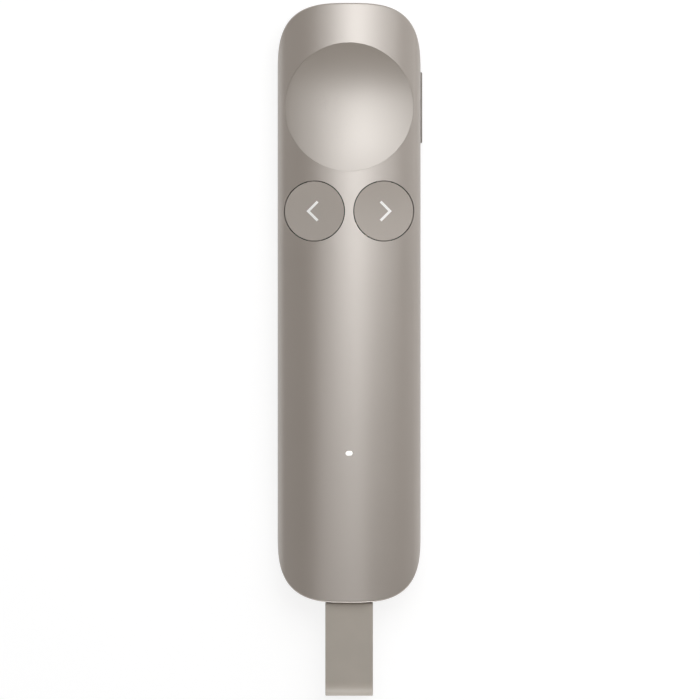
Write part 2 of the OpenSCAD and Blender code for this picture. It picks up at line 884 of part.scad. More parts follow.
module laser_barrel() {
    color([0.75, 0.62, 0.32])
        difference() {
            along_y(barrel_back_y, barrel_front_y) translate([0, laser_z]) circle(barrel_r);
            along_y(barrel_back_y - 1, barrel_front_y - barrel_lip)
                translate([0, laser_z]) circle(barrel_r - barrel_t);
            along_y(barrel_back_y, barrel_front_y + 1) translate([0, laser_z]) circle(aperture_r);
        }
}

module laser_lens() {
    lens_front_y = barrel_front_y - barrel_lip - fix_gap;
    color([0.6, 0.75, 0.8])
        intersection() {
            along_y(lens_front_y - lens_l, lens_front_y) translate([0, laser_z]) circle(lens_r);
            translate([0, lens_front_y - 2 * lens_r, laser_z]) sphere(2 * lens_r);
        }
}

module laser_diode() {
    flange_y = barrel_back_y + can_flange[1];
    cap_y = flange_y + can_flange[0];
    color([0.8, 0.72, 0.5]) {
        along_y(flange_y, cap_y) translate([0, laser_z]) circle(lens_r);
        along_y(cap_y, cap_y + can_cap[0]) translate([0, laser_z]) circle(can_cap[1]);
        for (p = pin_places) {
            along_y(board_nose_y - fix_gap, flange_y) translate([p[0], laser_z + p[1]]) circle(pin_r);
        }
    }
}

// ---------- receiver and its sleeve ----------

module receiver_sleeve() {
    color([0.3, 0.3, 0.31])
        difference() {
            along_y(sleeve_tail_y, sleeve_nose_y)
                translate([0, port_z])
                    rounded_rect(sleeve_w + 2 * sleeve_t, sleeve_h + 2 * sleeve_t, sleeve_r + sleeve_t);
            along_y(sleeve_tail_y - 1, sleeve_nose_y + 1)
                translate([0, port_z]) rounded_rect(sleeve_w, sleeve_h, sleeve_r);
        }
}

module receiver_case() {
    color([0.22, 0.22, 0.23])
        difference() {
            along_y(case_tail_y, case_nose_y)
                translate([0, port_z]) rounded_rect(receiver_w, receiver_h, receiver_r);
            along_y(case_tail_y + case_end_t, case_nose_y + 1)
                translate([0, port_z]) rounded_rect(cavity_w, cavity_h, cavity_r);
            along_y(case_tail_y - 1, case_tail_y + case_end_t + 1)
                translate([0, port_z])
                    rounded_rect(neck_w + 2 * fix_gap, neck_h + 2 * fix_gap, neck_r + fix_gap);
        }
}

module receiver_collar() {
    color([0.22, 0.22, 0.23])
        difference() {
            along_y(case_nose_y - collar_t, case_nose_y)
                translate([0, port_z])
                    rounded_rect(cavity_w - 2 * fix_gap, cavity_h - 2 * fix_gap, cavity_r - fix_gap);
            along_y(case_nose_y - collar_t - 1, case_nose_y + 1)
                translate([0, port_z]) obround(plug_w + 2 * fix_gap, plug_h + 2 * fix_gap);
        }
}

module receiver_plug() {
    color([0.75, 0.75, 0.77])
        difference() {
            along_y(case_nose_y - plug_root, case_nose_y + plug_l)
                translate([0, port_z]) obround(plug_w, plug_h);
            along_y(case_nose_y - plug_root - 1, case_nose_y + plug_l + 1)
                translate([0, port_z]) obround(plug_w - 2 * plug_t, plug_h - 2 * plug_t);
        }
}

module receiver_contacts() {
    color([0.1, 0.1, 0.1])
        difference() {
            along_y(case_nose_y - plug_root + slide_gap, case_nose_y + plug_l - 2 * slide_gap)
                translate([0, port_z])
                    obround(plug_w - 2 * plug_t - fix_gap, plug_h - 2 * plug_t - fix_gap);
            along_y(case_nose_y + plug_l - contact_slot[1], case_nose_y + plug_l + 1)
                translate([0, port_z]) square([contact_slot[0], contact_slot[2]], center = true);
        }
}

module receiver_board() {
    board_y = case_tail_y + case_end_t + anchor_t + fix_gap;
    color([0.05, 0.3, 0.2])
        translate([-cavity_w / 2 + slide_gap, board_y, port_z - receiver_board_t / 2])
            cube([cavity_w - 2 * slide_gap, case_nose_y - plug_root - fix_gap - board_y, receiver_board_t]);
}

module receiver_chip() {
    chip_y = (case_tail_y + case_nose_y - plug_root - receiver_chip_size[1]) / 2;
    color([0.1, 0.1, 0.11])
        translate([-receiver_chip_size[0] / 2, chip_y, port_z + receiver_board_t / 2])
            cube(receiver_chip_size);
}

module pull_loop() {
    eye_h = loop_h - 2 * band_t;
    far_y = tail_y - loop_l;
    color([0.6, 0.57, 0.54]) {
        // band round the eye, drawn in Y and Z
        along_x(-loop_w / 2, loop_w / 2)
            translate([0, port_z])
                difference() {
                    union() {
                        translate([far_y + loop_h / 2, 0]) circle(loop_h / 2);
                        translate([far_y + loop_h / 2, -loop_h / 2])
                            square([loop_root_y - far_y - loop_h / 2 - root_r, loop_h]);
                        for (side = [-1, 1]) {
                            translate([loop_root_y - root_r, side * (loop_h / 2 - root_r)]) circle(root_r);
                        }
                        translate([loop_root_y - root_r, -loop_h / 2 + root_r])
                            square([root_r, loop_h - 2 * root_r]);
                    }
                    translate([(far_y + band_t + loop_root_y - root_t) / 2, 0])
                        obround(loop_root_y - root_t - far_y - band_t, eye_h);
                }
        // neck and anchor inside the receiver
        along_y(loop_root_y - root_t / 2, case_tail_y + case_end_t + fix_gap)
            translate([0, port_z]) rounded_rect(neck_w, neck_h, neck_r);
        along_y(case_tail_y + case_end_t + fix_gap, case_tail_y + case_end_t + anchor_t)
            translate([0, port_z])
                rounded_rect(cavity_w - 2 * slide_gap, cavity_h - 2 * slide_gap, cavity_r - slide_gap);
    }
}

// ---------- keys ----------

// Bar across a key of radius r, whose two ends stand out as lugs just under the shell
module stop_lugs(x, y, r, w, top_z) {
    translate([x, y, top_z - lug_t])
        linear_extrude(lug_t)
            difference() {
                intersection() {
                    circle(r + lug_out);
                    square([w, 4 * r], center = true);
                }
                square([w + 1, 2 * (r - skirt_t)], center = true);
            }
}

module thumb_key() {
    color([0.72, 0.685, 0.65])
        difference() {
            union() {
                intersection() {
                    translate([0, dish_y, 0]) cylinder(r = thumb_r, h = body_t, $fn = 128);
                    union() {
                        dish_drum(thumb_plate);
                        for (side = [-1, 1]) {
                            translate([-thumb_lug_w / 2, dish_y + side * (thumb_r - skirt_t) - skirt_t,
                                       thumb_lug_z - lug_t])
                                cube([thumb_lug_w, 2 * skirt_t, body_t]);
                        }
                    }
                }
                stop_lugs(0, dish_y, thumb_r, thumb_lug_w, thumb_lug_z);
                translate([0, dish_y, plunger_top]) cylinder(r = stem_r, h = body_t);
                for (side = [-1, 1]) {
                    translate([0, dish_y + side * post_offset, deck_z]) cylinder(r = post_r, h = body_t);
                }
            }
            dish_drum();
        }
}

module round_key() {
    difference() {
        union() {
            difference() {
                translate([key_x, keys_y, skirt_z]) cylinder(r = key_r, h = body_t);
                difference() {
                    translate([key_x, keys_y, 0]) cylinder(r = key_r - skirt_t, h = 2 * body_t);
                    key_drum(cap_plate);
                }
            }
            stop_lugs(key_x, keys_y, key_r, lug_w, lug_z);
            translate([key_x, keys_y, plunger_top]) cylinder(r = stem_r, h = body_t);
        }
        key_drum();
        round_key_mark(mark_depth + fix_gap);
    }
}

// Arrow on the right-hand key, let into it by depth
module round_key_mark(depth) {
    intersection() {
        translate([key_x, keys_y, 0]) linear_extrude(body_t) arrow_outline();
        key_drum(depth);
    }
}

module round_key_arrow() {
    difference() {
        round_key_mark(mark_depth);
        key_drum();
    }
}

module next_key() {
    color([0.63, 0.6, 0.57]) round_key();
}

module back_key() {
    color([0.63, 0.6, 0.57]) mirror([1, 0, 0]) round_key();
}

module next_arrow() {
    color([0.95, 0.93, 0.89]) round_key_arrow();
}

module back_arrow() {
    color([0.95, 0.93, 0.89]) mirror([1, 0, 0]) round_key_arrow();
}

module side_key() {
    color([0.52, 0.49, 0.46])
        union() {
            along_x(side_flange_x, body_w / 2 + side_key_out)
                translate([dish_y, side_key_z]) rounded_rect(side_key_l, side_key_h, side_key_h / 4);
            along_x(side_flange_x, side_flange_x + side_flange_t)
                translate([dish_y, side_key_z])
                    rounded_rect(side_key_l + 2 * side_flange, side_key_h + 2 * side_flange, side_key_h / 4);
            along_x(side_plunger_x, side_flange_x)
                translate([dish_y, side_key_z]) circle(plunger_r);
        }
}

front_shell();
rear_cover();
nose_window();
light_pipe();
mid_frame();
frame_screws();
main_board();
board_screws();
thumb_switch();
back_switch();
next_switch();
side_switch();
status_led();
processor();
radio_shield();
motion_sensor();
chip_antenna();
charging_socket();
battery();
battery_pad();
battery_leads();
battery_connector();
vibration_motor();
laser_barrel();
laser_diode();
laser_lens();
receiver_sleeve();
thumb_key();
thumb_plunger();
back_key();
back_arrow();
back_plunger();
next_key();
next_arrow();
next_plunger();
side_key();
side_plunger();
receiver_case();
receiver_collar();
receiver_plug();
receiver_contacts();
receiver_board();
receiver_chip();
pull_loop();
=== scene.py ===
"""Looks of a slim hand-held presentation remote with a thumb dish, round keys and a plug-in receiver."""

import math
from functools import partial

import bmesh
import bpy
from mathutils import Matrix, Vector

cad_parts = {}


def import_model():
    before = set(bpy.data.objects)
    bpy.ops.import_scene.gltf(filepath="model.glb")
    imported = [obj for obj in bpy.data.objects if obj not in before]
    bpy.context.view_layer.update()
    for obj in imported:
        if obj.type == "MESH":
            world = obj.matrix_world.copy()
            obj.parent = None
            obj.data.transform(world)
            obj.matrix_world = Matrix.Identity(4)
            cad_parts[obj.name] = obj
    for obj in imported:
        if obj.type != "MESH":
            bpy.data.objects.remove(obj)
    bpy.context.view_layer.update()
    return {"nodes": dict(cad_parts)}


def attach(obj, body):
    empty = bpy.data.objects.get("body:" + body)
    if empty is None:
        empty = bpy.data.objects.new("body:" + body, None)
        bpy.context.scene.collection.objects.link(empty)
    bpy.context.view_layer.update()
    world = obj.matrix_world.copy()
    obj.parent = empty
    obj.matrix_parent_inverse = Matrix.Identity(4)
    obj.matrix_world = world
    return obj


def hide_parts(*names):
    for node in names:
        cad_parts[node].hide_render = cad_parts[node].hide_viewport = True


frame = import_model()

# ---------- measures in millimetres, as in the part ----------

MM = 0.001

# housing: superelliptic ends, a crown along it, rolled side edges and a rounded back
HALF_W, NOSE_Y, CROWN_TOP = 15.5, 64.85, 13.0
END_L, END_POWER = 15.6, 3.1
STRAIGHT_Y = NOSE_Y - END_L
CROWN_R, SIDE_R, BACK_R = 30.0, 3.0, 3.4
WALL, SEAM_Z, SEAM_EASE = 1.3, 3.4, 0.12
CROWN_Z = CROWN_TOP - CROWN_R
SIDE_X = HALF_W - SIDE_R
SIDE_Z = CROWN_Z + math.sqrt((CROWN_R - SIDE_R) ** 2 - SIDE_X**2)

# keys
DISH_Y, KEYS_Y = 42.35, 19.85
KEY_X, KEY_R, KEY_HOLE_R = 7.5, 6.4, 6.6
THUMB_R, THUMB_HOLE_R = 13.92, 13.94
DISH_DEPTH, THUMB_PLATE, CAP_PLATE, SKIRT_T = 1.75, 1.1, 1.1, 0.9
PLUNGER_TOP, PLUNGER_SEAT_R, DECK_Z, LUG_T = 8.0, 1.5, 3.4, 0.8

# side key, laser, light and receiver; an oblong is its width, its height and its corners' radius
SIDE_KEY_Z, LASER_Z, PLUG_Z, LIGHT_Y = 5.6, 6.5, 7.4, -32.55
SIDE_KEY, SIDE_SLOT = (15.4, 2.4, 0.6), (15.6, 2.6, 0.7)
LIGHT_LENS, LIGHT_HOLE = (1.5, 1.0, 0.49), (1.56, 1.06, 0.52)
LASER_HOLE_R, WINDOW_SEAT_R = 1.8, 2.55
WELL_MOUTH = (12.2, 5.8, 2.4)

# ---------- how finely things are drawn ----------

HALF_STEPS = 96
STATIONS = range(2 * (HALF_STEPS + 1))
ROLL_STEPS = 6
CORNER_STEPS = 10
ROUND_STEPS = 128
DISH_STEPS = 192
MERGE = 0.002
SHARP_TURN = 40


# ---------- the housing's surfaces ----------

def front_z(x, inset=0.0):
    """Height of the front surface, sunk by inset, at a distance x from the middle."""
    crown_end = SIDE_X * (CROWN_R - inset) / (CROWN_R - SIDE_R)
    if abs(x) <= crown_end:
        return CROWN_Z + math.sqrt((CROWN_R - inset) ** 2 - x * x)
    return SIDE_Z + math.sqrt(max(0.0, (SIDE_R - inset) ** 2 - (abs(x) - SIDE_X) ** 2))


def front_normal(x, inset=0.0):
    """Direction in which the front surface faces, at a distance x from the middle."""
    crown_end = SIDE_X * (CROWN_R - inset) / (CROWN_R - SIDE_R)
    z = front_z(x, inset)
    if abs(x) <= crown_end:
        return Vector((x, 0, z - CROWN_Z)).normalized()
    return Vector((math.copysign(abs(x) - SIDE_X, x), 0, z - SIDE_Z)).normalized()


def front_facing(point):
    """Direction in which the front surface faces at a point on it, and none at any other point."""
    x, y, z = point
    crown_end = SIDE_X * CROWN_R / (CROWN_R - SIDE_R)
    beyond = max(0.0, abs(x) - SIDE_X)
    if abs(x) <= crown_end and abs(math.hypot(x, z - CROWN_Z) - CROWN_R) < MERGE:
        return Vector((x, 0, z - CROWN_Z)).normalized()
    if abs(x) > crown_end and z > SIDE_Z and abs(math.hypot(beyond, z - SIDE_Z) - SIDE_R) < MERGE:
        return Vector((math.copysign(beyond, x), 0, z - SIDE_Z)).normalized()
    return Vector()


def end_y(x):
    """How far the rounded end reaches at a distance x from the middle."""
    return STRAIGHT_Y + END_L * (1 - abs(x / HALF_W) ** END_POWER) ** (1 / END_POWER)


def side_x(y):
    """How far the side reaches at a place along the remote."""
    past = max(0.0, abs(y) - STRAIGHT_Y) / END_L
    return HALF_W * (1 - past**END_POWER) ** (1 / END_POWER)


def plan_edge(station):
    """Point of the plan's outline at a station, and the direction in which it faces."""
    half, step = divmod(station, HALF_STEPS + 1)
    turn = math.pi * (half + step / HALF_STEPS)
    across, along = math.cos(turn), math.sin(turn)
    bulk = abs(across / HALF_W) ** END_POWER + abs(along / END_L) ** END_POWER
    x, y = Vector((across, along)) * bulk ** (-1 / END_POWER)
    facing = Vector((
        math.copysign(abs(x / HALF_W) ** (END_POWER - 1) / HALF_W, x),
        math.copysign(abs(y / END_L) ** (END_POWER - 1) / END_L, y),
        0,
    )).normalized()
    return Vector((x, y + (STRAIGHT_Y if half == 0 else -STRAIGHT_Y), 0)), facing


def edge_place(station, inset, z):
    """Point at a height on the wall, stepped in from the plan's outline."""
    point, facing = plan_edge(station)
    point = point - facing * inset
    return Vector((point.x, point.y, z))


def rolled_place(station, inset, roll, share):
    """Point on the edge that rolls from the wall onto the crown, as a ball of that radius leaves it."""
    point, facing = plan_edge(station)
    centre = point - facing * (inset + roll)
    centre.z = front_z(centre.x, inset + roll)
    up = front_normal(centre.x, inset + roll)
    return centre + roll * facing.slerp(up, share, facing)


def dish_z(x, y, sunk=0.0):
    """Height of the thumb dish: hollow along the remote, arched across it."""
    fall = CROWN_TOP - DISH_DEPTH - front_z(THUMB_R)
    long_r = (THUMB_R**2 + DISH_DEPTH**2) / (2 * DISH_DEPTH)
    cross_r = (THUMB_R**2 + fall**2) / (2 * fall)
    reach = long_r + cross_r - math.sqrt(cross_r**2 - x * x) + sunk
    return CROWN_TOP - DISH_DEPTH + long_r - math.sqrt(reach**2 - (y - DISH_Y) ** 2)


def key_z(x, y, sunk=0.0):
    """Height of the right-hand key: a trough along the remote, tilted to meet the crown."""
    inner, outer = front_z(KEY_X - KEY_R), front_z(KEY_X + KEY_R)
    tilt = math.atan((inner - outer) / (2 * KEY_R))
    middle = (inner + outer) / 2
    rise = front_z(KEY_X) - middle
    hollow_r = (KEY_R**2 + rise**2) / (2 * rise)
    lift = hollow_r - math.sqrt((hollow_r + sunk) ** 2 - (y - KEYS_Y) ** 2)
    out = (x - KEY_X - lift * math.sin(tilt)) / math.cos(tilt)
    return middle - out * math.sin(tilt) + lift * math.cos(tilt)


# ---------- outlines ----------

def rounded_outline(width, height, corner, grow=0.0, steps=CORNER_STEPS):
    """Points round a rectangle with rounded corners, grown by grow."""
    points = []
    for number, (sx, sy) in enumerate(((1, 1), (-1, 1), (-1, -1), (1, -1))):
        for step in range(steps + 1):
            turn = math.pi / 2 * (number + step / steps)
            points.append((
                sx * (width / 2 - corner) + (corner + grow) * math.cos(turn),
                sy * (height / 2 - corner) + (corner + grow) * math.sin(turn),
            ))
    return points


def round_outline(radius, grow=0.0, count=ROUND_STEPS):
    """Points round a circle, grown by grow."""
    turns = [2 * math.pi * step / count for step in range(count)]
    return [((radius + grow) * math.cos(t), (radius + grow) * math.sin(t)) for t in turns]


def roll_profile(radius, steps=4, end=90.0):
    """Pairs of inward step and height below the edge, from the side round onto the top."""
    turns = [math.radians(end * s / steps) for s in range(steps + 1)]
    return [(radius * (1 - math.cos(t)), radius * (1 - math.sin(t))) for t in turns]


# ---------- bench tools ----------

def wrap_rings(bm, rings, caps=(True, True)):
    """Skin over closed rings of points, each ring extruded from the one before."""
    count = len(rings[0])
    station = bm.verts.layers.int.get("station") or bm.verts.layers.int.new("station")
    verts = bmesh.ops.create_circle(bm, segments=count, radius=1)["verts"]
    for vert in verts:
        vert[station] = round(math.atan2(-vert.co.x, vert.co.y) / (2 * math.pi) * count) % count
    first = edges = list({edge for vert in verts for edge in vert.link_edges})
    for number, ring in enumerate(rings):
        if number:
            grown = bmesh.ops.extrude_edge_only(bm, edges=edges)["geom"]
            verts = [item for item in grown if isinstance(item, bmesh.types.BMVert)]
            fresh = set(verts)
            edges = [
                item for item in grown
                if isinstance(item, bmesh.types.BMEdge) and fresh.issuperset(item.verts)
            ]
        for vert in verts:
            vert.co = ring[vert[station]]
    faces = []
    for wanted, rim in zip(caps, (first, edges)):
        if wanted:
            faces += bmesh.ops.edgeloop_fill(bm, edges=rim)["faces"]
    return faces


def close_ring(bm, rings):
    """Skin over rings that come back to the first one."""
    wrap_rings(bm, rings + rings[:1], caps=(False, False))


def post(bm, start, end, radius, sides=48):
    """Round post between two points."""
    start, end = Vector(start), Vector(end)
    run = end - start
    turn = Vector((0, 0, 1)).rotation_difference(run).to_matrix().to_4x4()
    bmesh.ops.create_cone(
        bm, cap_ends=True, segments=sides, radius1=radius, radius2=radius, depth=run.length,
        matrix=Matrix.Translation((start + end) / 2) @ turn,
    )


def block(bm, low, high, ease=0.0):
    """Square block between two corners, its edges eased."""
    low, high = Vector(low), Vector(high)
    size = high - low
    made = bmesh.ops.create_cube(
        bm, size=1, matrix=Matrix.Translation((low + high) / 2) @ Matrix.Diagonal((*size, 1)),
    )["verts"]
    if ease:
        edges = list({edge for vert in made for edge in vert.link_edges})
        bmesh.ops.bevel(
            bm, geom=edges, offset=ease, segments=3, profile=0.5, affect="EDGES", material=-1,
        )


def face_outwards(bm):
    """Turns the faces of every closed body in a mesh outwards."""
    bmesh.ops.recalc_face_normals(bm, faces=bm.faces)
    bm.normal_update()
    unseen = set(bm.faces)
    while unseen:
        shell, waiting = set(), [unseen.pop()]
        while waiting:
            face = waiting.pop()
            shell.add(face)
            near = {other for edge in face.edges for other in edge.link_faces} & unseen
            unseen -= near
            waiting += near
        bulk = sum(f.calc_center_median().dot(f.normal) * f.calc_area() for f in shell)
        if bulk < 0:
            bmesh.ops.reverse_faces(bm, faces=list(shell))


def blank(name, bm):
    """Finished mesh as an object, in metres."""
    bmesh.ops.remove_doubles(bm, verts=bm.verts, dist=MERGE)
    face_outwards(bm)
    bm.transform(Matrix.Scale(MM, 4))
    mesh = bpy.data.meshes.new(name)
    bm.to_mesh(mesh)
    bm.free()
    piece = bpy.data.objects.new(name, mesh)
    bpy.context.scene.collection.objects.link(piece)
    return piece


def carve(piece, *cutters):
    """Cuts the cutters out of a piece for good."""
    for cutter in cutters:
        step = piece.modifiers.new("carve", "BOOLEAN")
        step.operation, step.solver, step.object = "DIFFERENCE", "EXACT", cutter
    carved = bpy.data.meshes.new_from_object(
        piece.evaluated_get(bpy.context.evaluated_depsgraph_get())
    )
    piece.modifiers.clear()
    bm = bmesh.new()
    bm.from_mesh(carved)
    bmesh.ops.dissolve_degenerate(bm, dist=MERGE * MM / 4, edges=bm.edges)
    bm.to_mesh(carved)
    bm.free()
    piece.data = carved
    for cutter in cutters:
        bpy.data.objects.remove(cutter)


def dress(piece, finish, body, slot, *nodes, facing=None):
    """Smooths a piece, gives it its finish, and sets it in place of its nodes."""
    piece.data.shade_smooth()
    piece.data.set_sharp_from_angle(angle=math.radians(SHARP_TURN))
    if facing:
        piece.data.normals_split_custom_set_from_vertices(
            [facing(vert.co / MM) for vert in piece.data.vertices]
        )
    else:
        even = piece.modifiers.new("even_normals", "WEIGHTED_NORMAL")
        even.keep_sharp = True
    piece.data.materials.clear()
    piece.data.materials.append(finish)
    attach(piece, body)
    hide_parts(*nodes)


# ---------- finishes ----------

class Value:
    """A shader socket that takes part in sums."""

    def __init__(self, finish, socket):
        self.finish, self.socket = finish, socket

    def sum(self, operation, one, other):
        return self.finish.node("ShaderNodeMath", {"operation": operation}, {0: one, 1: other})

    def __add__(self, other):
        return self.sum("ADD", self, other)

    __radd__ = __add__

    def __sub__(self, other):
        return self.sum("SUBTRACT", self, other)

    def __rsub__(self, other):
        return self.sum("SUBTRACT", other, self)

    def __mul__(self, other):
        return self.sum("MULTIPLY", self, other)

    __rmul__ = __mul__

    def __gt__(self, other):
        return self.sum("GREATER_THAN", self, other)


class Finish:
    """A material, or the room's light, and the nodes that make it."""

    def __init__(self, name, place="Object", owner=None):
        self.material = owner or bpy.data.materials.new(name)
        self.material.use_nodes = True
        self.tree = self.material.node_tree
        self.tree.nodes.clear()
        self.place = self.node("ShaderNodeTexCoord", {}, {}, place)

    def node(self, kind, settings, inputs, output=0):
        """Adds a node: its settings first, then the values or links of its sockets."""
        node = self.tree.nodes.new(kind)
        for key, value in settings.items():
            setattr(node, key, value)
        for key, value in inputs.items():
            if isinstance(value, Value):
                self.tree.links.new(value.socket, node.inputs[key])
            else:
                node.inputs[key].default_value = value
        return Value(self, node.outputs[output]) if node.outputs else None

    def noise(self, size, detail=2.0, stretch=(1, 1, 1)):
        """Soft noise whose marks are about size millimetres across."""
        place = self.place
        if stretch != (1, 1, 1):
            place = self.node("ShaderNodeMapping", {}, {"Vector": place, "Scale": stretch})
        return self.node(
            "ShaderNodeTexNoise", {}, {"Vector": place, "Scale": 1 / (size * MM), "Detail": detail},
        )

    def cells(self, feature, size):
        """Distance from the middle or the edge of cells about size millimetres across."""
        return self.node(
            "ShaderNodeTexVoronoi", {"feature": feature},
            {"Vector": self.place, "Scale": 1 / (size * MM), "Randomness": 1.0},
        )

    def blend(self, share, one, other):
        """Colour between two others."""
        one, other = (c if isinstance(c, Value) else (*c, 1) for c in (one, other))
        return self.node(
            "ShaderNodeMix", {"data_type": "RGBA"}, {0: share, 6: one, 7: other}, 2,
        )

    def bump(self, height, depth):
        """Relief of a height from 0 to 1, depth millimetres deep."""
        return self.node(
            "ShaderNodeBump", {}, {"Height": height, "Distance": depth * MM, "Strength": 1.0},
        )

    def surface(self, **inputs):
        """Ends the finish with the main shader, whose sockets are named with underscores."""
        named = {key.replace("_", " "): value for key, value in inputs.items()}
        shader = self.node("ShaderNodeBsdfPrincipled", {}, named, "BSDF")
        self.node("ShaderNodeOutputMaterial", {}, {"Surface": shader})
        return self.material


def shade(colour, share):
    """The same colour, lighter or darker."""
    return tuple(channel * share for channel in colour)


def pearl_paint(name, colour, rough, sheen_index, flake_share=0.15):
    """Satin pearl paint: fine flake in a glossy binder, a faint drift of tone, a very fine texture."""
    flake_size, drift_size, grain_depth = 0.09, 14.0, 0.0012
    finish = Finish(name)
    flake = finish.noise(flake_size, 1.0)
    drift = finish.noise(drift_size, 3.0)
    tone = finish.blend(drift, shade(colour, 0.975), shade(colour, 1.025))
    return finish.surface(
        Base_Color=finish.blend(flake * 0.16, tone, shade(colour, 1.3)),
        Metallic=flake_share,
        IOR=sheen_index,
        Roughness=rough - 0.02 + drift * 0.04 + flake * 0.03,
        Normal=finish.bump(flake, grain_depth),
    )


def moulded(name, colour, rough, grain=0.35, grain_depth=0.004):
    """Moulded plastic or rubber with an even, fine grain."""
    drift_size = 6.0
    finish = Finish(name)
    grains = finish.noise(grain, 3.0)
    drift = finish.noise(drift_size, 3.0)
    return finish.surface(
        Base_Color=finish.blend(drift, shade(colour, 0.93), shade(colour, 1.06)),
        Roughness=rough - 0.05 + grains * 0.1,
        Normal=finish.bump(grains, grain_depth),
    )


def bare_metal(name, colour, rough, stretch):
    """Plated or drawn metal, its fine lines running along the stretched way."""
    line_size, stain_size, line_depth = 0.12, 3.0, 0.002
    finish = Finish(name)
    lines = finish.noise(line_size, 3.0, stretch)
    stain = finish.noise(stain_size, 3.0)
    return finish.surface(
        Base_Color=finish.blend(stain, shade(colour, 0.86), colour),
        Metallic=1.0,
        Roughness=rough + stain * 0.08 + lines * 0.06,
        Normal=finish.bump(lines, line_depth),
    )


def board_finish(name, colour):
    """Circuit board: lacquer over copper tracks that run along and across it, with plated holes."""
    track_size, hole_pitch, hole_share, track_depth = 2.2, 2.6, 0.16, 0.03
    plating = (0.75, 0.62, 0.36)
    finish = Finish(name)
    along = finish.noise(track_size, 0.0, (3.0, 0.25, 0.0))
    across = finish.noise(track_size, 0.0, (0.25, 3.0, 0.0))
    track = (along > 0.6) * 0.7 + (across > 0.63) * 0.7
    hole = (hole_share - finish.cells("F1", hole_pitch)) > 0.0
    lacquer = finish.blend(track, colour, shade(colour, 1.7))
    return finish.surface(
        Base_Color=finish.blend(hole, lacquer, plating),
        Metallic=hole * 0.9,
        Roughness=0.32 + track * 0.08,
        Normal=finish.bump(track, track_depth),
        Coat_Weight=0.3,
    )


def foil_finish(name, colour):
    """Cell pouch: crinkled, faintly brushed foil."""
    crinkle_size, line_size, crinkle_depth = 2.4, 0.2, 0.12
    finish = Finish(name)
    crinkle = finish.noise(crinkle_size, 4.0)
    lines = finish.noise(line_size, 2.0, (1.0, 0.08, 1.0))
    # the foil is painted darker where the crinkle relief is low: painted shade in its hollows
    return finish.surface(
        Base_Color=finish.blend(crinkle, shade(colour, 0.88), colour),
        Metallic=0.85,
        Roughness=0.3 + crinkle * 0.14 + lines * 0.05,
        Normal=finish.bump(crinkle + lines * 0.15, crinkle_depth),
    )


def foam_finish(name, colour):
    """Open-celled foam tape."""
    cell_size, cell_depth = 0.28, 0.12
    finish = Finish(name)
    cells = finish.cells("DISTANCE_TO_EDGE", cell_size)
    return finish.surface(
        Base_Color=finish.blend(cells * 2.0, shade(colour, 1.5), colour),
        Roughness=0.95,
        Normal=finish.bump(cells, cell_depth),
    )


def contact_finish(name, insert, plating, pitch):
    """Black insert with a row of plated strips."""
    stain_size, strip_depth = 0.8, 0.02
    finish = Finish(name)
    across = finish.node("ShaderNodeSeparateXYZ", {}, {0: finish.place}, "X")
    turn = finish.node("ShaderNodeMath", {"operation": "FRACT"}, {0: across * (1 / (pitch * MM))})
    strip = turn > 0.5
    stain = finish.noise(stain_size, 3.0)
    return finish.surface(
        Base_Color=finish.blend(strip, insert, finish.blend(stain, shade(plating, 0.85), plating)),
        Metallic=strip,
        Roughness=0.45 - strip * 0.2 + stain * 0.06,
        Normal=finish.bump(strip, strip_depth),
    )


def glassy(name, colour, rough, **more):
    """Clear or smoked window plastic with a faint haze and a hard coat."""
    haze_size = 1.6
    finish = Finish(name)
    haze = finish.noise(haze_size, 4.0)
    return finish.surface(
        Base_Color=finish.blend(haze, colour, shade(colour, 1.2)),
        Roughness=rough + haze * 0.03,
        Coat_Weight=1.0,
        **more,
    )


def lit_finish(name, dim, bright, strength):
    """Milky lens lit from behind, its glow a little uneven."""
    patch_size = 0.5
    finish = Finish(name)
    glow = finish.blend(finish.noise(patch_size), dim, bright)
    return finish.surface(
        Base_Color=glow, Emission_Color=glow, Emission_Strength=strength, Roughness=0.3,
    )


shell_paint = pearl_paint("satin_shell_paint", (0.36, 0.314, 0.274), 0.28, 2.3)
# the thumb dish has the shell's paint, its colour made darker as painted shade in the hollow dish
painted_shade_dish_paint = pearl_paint("satin_dish_paint", (0.316, 0.275, 0.237), 0.27, 2.2)
key_paint = pearl_paint("matte_key_paint", (0.392, 0.35, 0.312), 0.48, 1.6, 0.1)
cover_paint = pearl_paint("satin_cover_paint", (0.38, 0.336, 0.3), 0.34, 2.0)
side_key_paint = pearl_paint("side_key_paint", (0.19, 0.17, 0.152), 0.4, 1.7)
loop_rubber = moulded("loop_rubber", (0.415, 0.373, 0.323), 0.5, grain=0.25)
arrow_white = moulded("arrow_white", (0.96, 0.95, 0.93), 0.45, grain=0.2, grain_depth=0.001)
lit_lens = lit_finish("lit_lens", (0.9, 0.88, 0.84), (1.0, 0.99, 0.97), 0.4)
receiver_plastic = moulded("receiver_plastic", (0.05, 0.05, 0.053), 0.42)
plug_steel = bare_metal("plug_steel", (0.72, 0.71, 0.7), 0.24, (1, 0.1, 1))
smoked_window = glassy("smoked_window", (0.035, 0.012, 0.012), 0.06)

